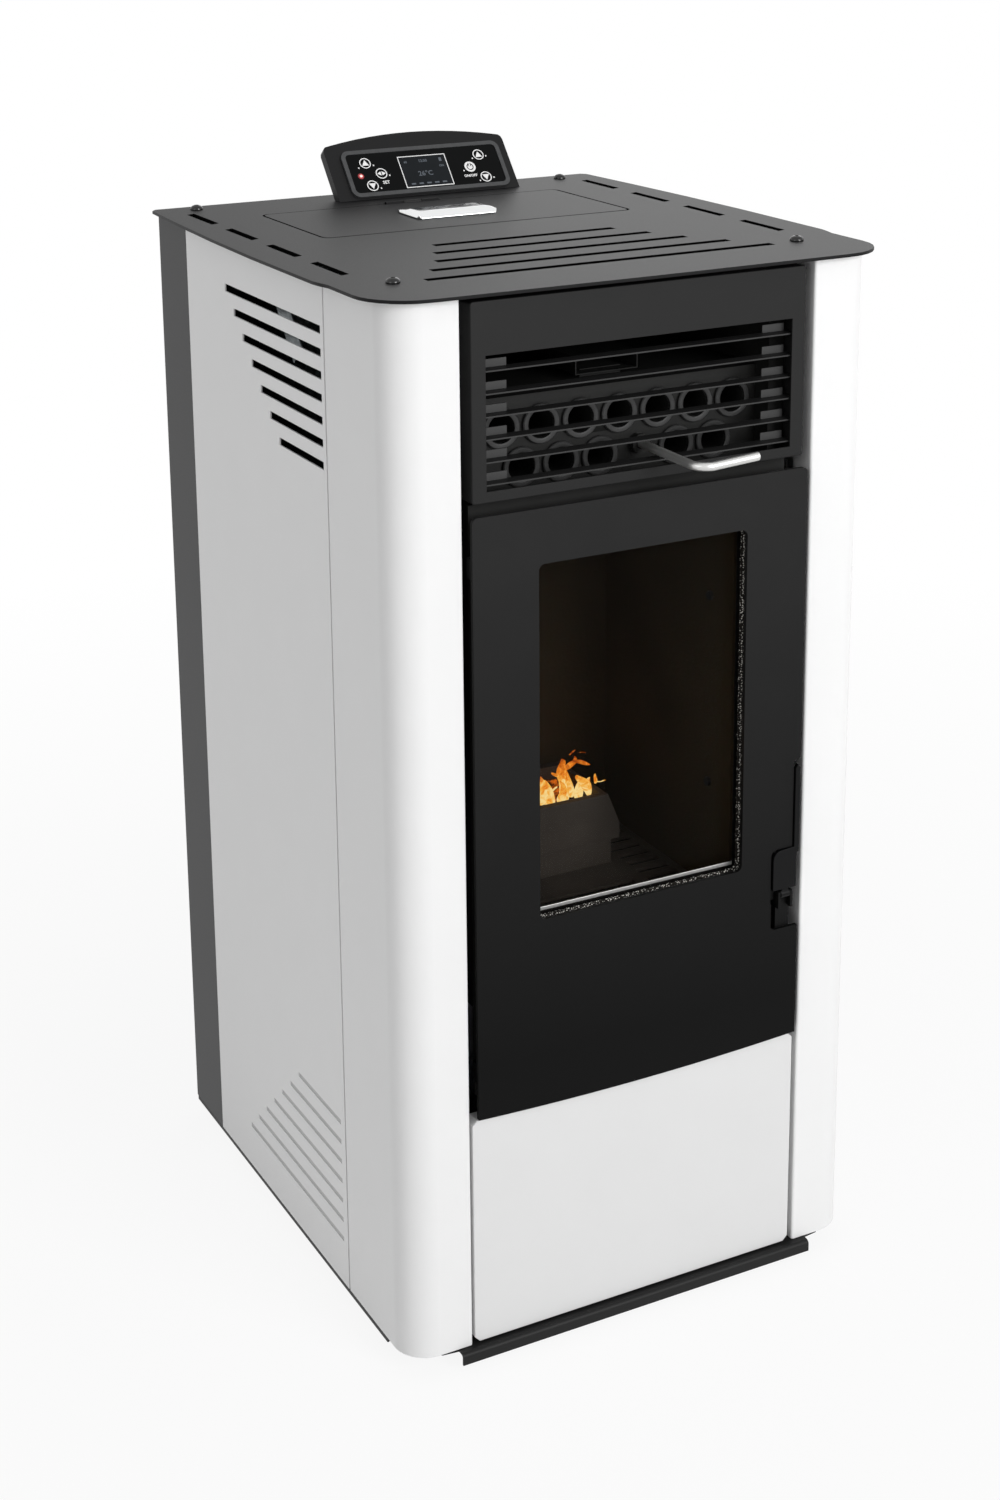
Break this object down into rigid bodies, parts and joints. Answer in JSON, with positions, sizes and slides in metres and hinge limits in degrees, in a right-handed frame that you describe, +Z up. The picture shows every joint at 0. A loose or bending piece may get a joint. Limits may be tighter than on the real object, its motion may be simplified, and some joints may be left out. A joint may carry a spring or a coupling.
{
  "type": "pellet stove",
  "caption": "Free-standing pellet stove with a glazed fire door, louvred warm-air outlet, ash drawer, hopper lid and tilted control panel.",
  "frame": {"origin": "centre of the bounding box's bottom face, on the floor", "axes": "+X to the stove's right as seen from its front, +Y to its back, +Z up; the fire door faces -Y"},
  "size_m": [0.524, 0.673, 1.0696],
  "materials": {
    "white_enamel": "smooth white powder coat, satin gloss",
    "black_paint": "heat-resistant black paint, low sheen",
    "graphite_paint": "dark grey heat-resistant paint",
    "textured_black": "finely textured black powder coat",
    "cast_iron": "bare cast iron, ash dusted",
    "steel": "plain drawn steel",
    "galvanised": "galvanised sheet steel",
    "chrome": "bright chrome plate",
    "glass": "clear ceramic glass",
    "rope": "knitted glass-fibre rope",
    "vermiculite": "pressed vermiculite board",
    "black_plastic": "moulded black plastic",
    "panel_gloss": "glossy black front film",
    "key_plastic": "moulded pale plastic",
    "rubber": "moulded black rubber pad"
  },
  "bodies": {
    "cabinet": {"air_duct": "galvanised", "air_intake": "galvanised", "ash_chute": "galvanised", "auger_gearmotor": "black_paint", "auger_tube": "galvanised", "back_panel": "graphite_paint", "base_pan": "black_paint", "burn_pot": "cast_iron", "column_left": "white_enamel", "column_right": "white_enamel", "control_box": "black_plastic", "control_panel_housing": "black_plastic", "control_panel_overlay": "panel_gloss", "door_hinge_bottom": "black_paint", "door_hinge_top": "black_paint", "exhaust_fan_housing": "galvanised", "firebox": "graphite_paint", "firebox_liner": "vermiculite", "floor_grate": "cast_iron", "flue_duct": "galvanised", "grille_frame": "black_paint", "grille_louvres": "black_paint", "heat_exchanger": "graphite_paint", "hopper": "galvanised", "igniter": "steel", "levelling_foot_front_left": "rubber", "levelling_foot_front_right": "rubber", "levelling_foot_rear_left": "rubber", "levelling_foot_rear_right": "rubber", "lid_hinge": "black_paint", "mains_inlet": "black_plastic", "plate_screw_front_left": "black_paint", "plate_screw_front_right": "black_paint", "plate_screw_rear_left": "black_paint", "plate_screw_rear_right": "black_paint", "room_fan_housing": "galvanised", "side_panel_left": "white_enamel", "side_panel_right": "white_enamel", "top_plate": "textured_black"},
    "door": {"fire_door": "black_paint", "glass_gasket": "rope", "door_glass": "glass", "glass_retainer": "black_paint", "door_seal": "rope"},
    "latch": {"door_handle": "black_paint"},
    "lid": {"hopper_lid": "textured_black", "lid_handle": "chrome"},
    "ash_drawer": {"ash_drawer_front": "white_enamel", "ash_pan": "galvanised"},
    "scraper": {"scraper_rod": "steel", "scraper_plate": "galvanised"},
    "key_left_up_button": {"key_left_up": "key_plastic"},
    "key_set_button": {"key_set": "key_plastic"},
    "key_left_down_button": {"key_left_down": "key_plastic"},
    "key_right_up_button": {"key_right_up": "key_plastic"},
    "key_power_button": {"key_power": "key_plastic"},
    "key_right_down_button": {"key_right_down": "key_plastic"},
    "auger": {"auger_screw": "steel"},
    "exhaust_rotor": {"exhaust_impeller": "steel"},
    "room_fan_wheel": {"room_fan_rotor": "steel"}
  },
  "joints": [
    {"name": "door_hinge", "type": "hinge", "parent": "cabinet", "child": "door", "pos_m": [-0.163, -0.2685, 0.53], "axis": [0, 0, -1], "range_deg": [0, 100]},
    {"name": "door_lever", "type": "hinge", "parent": "door", "child": "latch", "pos_m": [0.155, -0.2775, 0.4], "axis": [1, 0, 0], "range_deg": [0, 55]},
    {"name": "lid_hinge_joint", "type": "hinge", "parent": "cabinet", "child": "lid", "pos_m": [0, 0.188, 1.0095], "axis": [-1, 0, 0], "range_deg": [0, 80]},
    {"name": "ash_drawer_slide", "type": "slide", "parent": "cabinet", "child": "ash_drawer", "axis": [0, -1, 0], "range_m": [0, 0.24]},
    {"name": "scraper_slide", "type": "slide", "parent": "cabinet", "child": "scraper", "axis": [0, -1, 0], "range_m": [0, 0.19]},
    {"name": "key_left_up_press", "type": "slide", "parent": "cabinet", "child": "key_left_up_button", "axis": [0, 0.766, -0.6428], "range_m": [0, 0.0005], "stiffness_N_per_m": 400, "springref_m": -0.001},
    {"name": "key_set_press", "type": "slide", "parent": "cabinet", "child": "key_set_button", "axis": [0, 0.766, -0.6428], "range_m": [0, 0.0005], "stiffness_N_per_m": 400, "springref_m": -0.001},
    {"name": "key_left_down_press", "type": "slide", "parent": "cabinet", "child": "key_left_down_button", "axis": [0, 0.766, -0.6428], "range_m": [0, 0.0005], "stiffness_N_per_m": 400, "springref_m": -0.001},
    {"name": "key_right_up_press", "type": "slide", "parent": "cabinet", "child": "key_right_up_button", "axis": [0, 0.766, -0.6428], "range_m": [0, 0.0005], "stiffness_N_per_m": 400, "springref_m": -0.001},
    {"name": "key_power_press", "type": "slide", "parent": "cabinet", "child": "key_power_button", "axis": [0, 0.766, -0.6428], "range_m": [0, 0.0005], "stiffness_N_per_m": 400, "springref_m": -0.001},
    {"name": "key_right_down_press", "type": "slide", "parent": "cabinet", "child": "key_right_down_button", "axis": [0, 0.766, -0.6428], "range_m": [0, 0.0005], "stiffness_N_per_m": 400, "springref_m": -0.001},
    {"name": "auger_turn", "type": "hinge", "parent": "cabinet", "child": "auger", "pos_m": [0, 0.1795, 0.542], "axis": [0, -0.766, 0.6428], "continuous": true},
    {"name": "exhaust_fan_turn", "type": "hinge", "parent": "cabinet", "child": "exhaust_rotor", "pos_m": [0.08, 0.1275, 0.13], "axis": [1, 0, 0], "continuous": true},
    {"name": "room_fan_turn", "type": "hinge", "parent": "cabinet", "child": "room_fan_wheel", "pos_m": [-0.095, 0.1155, 0.108], "axis": [1, 0, 0], "continuous": true}
  ]
}
